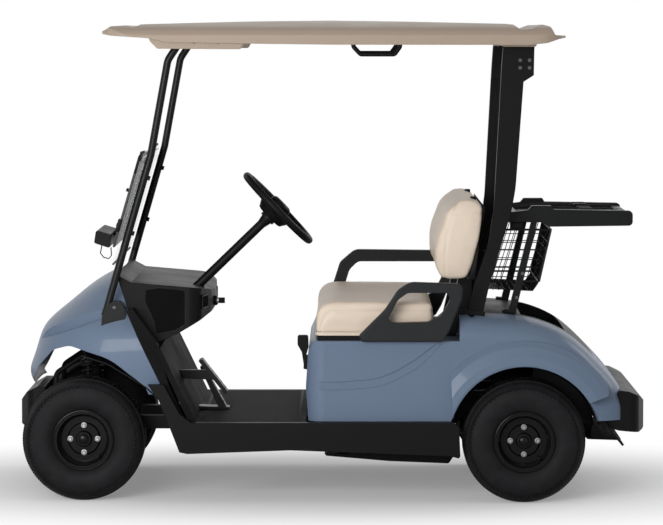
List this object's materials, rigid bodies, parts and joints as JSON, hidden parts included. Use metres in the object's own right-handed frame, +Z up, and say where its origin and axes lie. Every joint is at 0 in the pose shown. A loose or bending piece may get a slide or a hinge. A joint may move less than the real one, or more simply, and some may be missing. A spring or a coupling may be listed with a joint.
{
  "type": "golf cart",
  "caption": "Two-seat golf cart with a roof on struts and pillars, fold-down windshield, bag well, wire basket and bag rack.",
  "frame": {"origin": "on the ground, midway between the front and rear ends and midway between the sides", "axes": "+X towards the rear, +Y towards the passenger's side, +Z up"},
  "size_m": [2.3923, 1.196, 1.7879],
  "materials": {
    "body_paint": "metallic slate blue, satin gloss",
    "roof_shell": "satin tan",
    "seat_vinyl": "light beige vinyl",
    "tyre_rubber": "black",
    "rim_steel": "gloss black",
    "pane": "clear, slightly smoked",
    "moulded_black": "fine textured black",
    "black_tube": "satin black powder coat",
    "frame_paint": "black",
    "engine_metal": "cast"
  },
  "bodies": {
    "chassis": {"armrests": "moulded_black", "bag_rack": "black_tube", "bag_well": "moulded_black", "basket": "black_tube", "coil_struts": "frame_paint", "cross_members": "frame_paint", "dash": "moulded_black", "direction_lever": "moulded_black", "engine": "engine_metal", "floor_pan": "moulded_black", "frame_rails": "frame_paint", "front_bumper": "moulded_black", "front_cowl": "body_paint", "kick_panel": "moulded_black", "lower_arms": "frame_paint", "pedals": "black_tube", "rear_axle": "frame_paint", "rear_body": "body_paint", "rear_bumper": "moulded_black", "rear_pillars": "moulded_black", "rear_springs": "frame_paint", "roof": "roof_shell", "roof_grips": "moulded_black", "roof_struts_front": "black_tube", "seat_back": "seat_vinyl", "seat_brackets": "black_tube", "sills": "moulded_black", "steering_column": "moulded_black", "steering_gear": "frame_paint", "under_tray": "moulded_black", "wheel_liners": "moulded_black", "windshield_lower": "pane"},
    "knuckle_left": {"knuckle_left": "frame_paint"},
    "knuckle_right": {"knuckle_right": "frame_paint"},
    "windshield_upper": {"mirror": "moulded_black", "windshield_upper": "pane"},
    "pitman_arm": {"pitman_arm": "frame_paint"},
    "wheel_front_left": {"rim_front_left": "rim_steel", "tyre_front_left": "tyre_rubber"},
    "wheel_front_right": {"rim_front_right": "rim_steel", "tyre_front_right": "tyre_rubber"},
    "wheel_rear_left": {"rim_rear_left": "rim_steel", "tyre_rear_left": "tyre_rubber"},
    "wheel_rear_right": {"rim_rear_right": "rim_steel", "tyre_rear_right": "tyre_rubber"},
    "seat": {"seat_cushion": "seat_vinyl", "seat_pan": "moulded_black"},
    "steering_wheel": {"steering_wheel": "moulded_black"},
    "tie_rod": {"tie_rod": "frame_paint"}
  },
  "joints": [
    {"name": "steering_turn", "type": "hinge", "parent": "chassis", "child": "steering_wheel", "pos_m": [-0.2, -0.285, 1.082], "axis": [0.7193, 0, 0.6947], "range_deg": [-288, 288]},
    {"name": "kingpin_left", "type": "hinge", "parent": "chassis", "child": "knuckle_left", "pos_m": [-0.922, -0.312, 0.2286], "axis": [0, 0, 1], "range_deg": [-32, 32]},
    {"name": "kingpin_right", "type": "hinge", "parent": "chassis", "child": "knuckle_right", "pos_m": [-0.922, 0.312, 0.2286], "axis": [0, 0, 1], "range_deg": [-32, 32]},
    {"name": "tie_rod_pivot", "type": "hinge", "parent": "knuckle_left", "child": "tie_rod", "pos_m": [-0.812, -0.312, 0.213], "axis": [0, 0, 1], "range_deg": [-32, 32]},
    {"name": "pitman_turn", "type": "hinge", "parent": "chassis", "child": "pitman_arm", "pos_m": [-0.922, 0, 0.194], "axis": [0, 0, 1], "range_deg": [-32, 32]},
    {"name": "front_left_spin", "type": "hinge", "parent": "knuckle_left", "child": "wheel_front_left", "pos_m": [-0.922, -0.435, 0.2286], "axis": [0, 1, 0], "continuous": true},
    {"name": "front_right_spin", "type": "hinge", "parent": "knuckle_right", "child": "wheel_front_right", "pos_m": [-0.922, 0.435, 0.2286], "axis": [0, 1, 0], "continuous": true},
    {"name": "rear_left_spin", "type": "hinge", "parent": "chassis", "child": "wheel_rear_left", "pos_m": [0.718, -0.49, 0.2286], "axis": [0, 1, 0], "continuous": true},
    {"name": "rear_right_spin", "type": "hinge", "parent": "chassis", "child": "wheel_rear_right", "pos_m": [0.718, 0.49, 0.2286], "axis": [0, 1, 0], "continuous": true},
    {"name": "seat_lift", "type": "hinge", "parent": "chassis", "child": "seat", "pos_m": [-0.05, 0, 0.6023], "axis": [0, -1, 0], "range_deg": [0, 60]},
    {"name": "windshield_fold", "type": "hinge", "parent": "chassis", "child": "windshield_upper", "pos_m": [-0.6971, 0, 1.29844], "axis": [0, 1, 0], "range_deg": [0, 172]}
  ],
  "couplings": [
    {"joint": "kingpin_left", "follows": "steering_turn", "ratio": 0.11111},
    {"joint": "kingpin_right", "follows": "steering_turn", "ratio": 0.11111},
    {"joint": "tie_rod_pivot", "follows": "steering_turn", "ratio": -0.11111},
    {"joint": "pitman_turn", "follows": "steering_turn", "ratio": 0.11111}
  ]
}
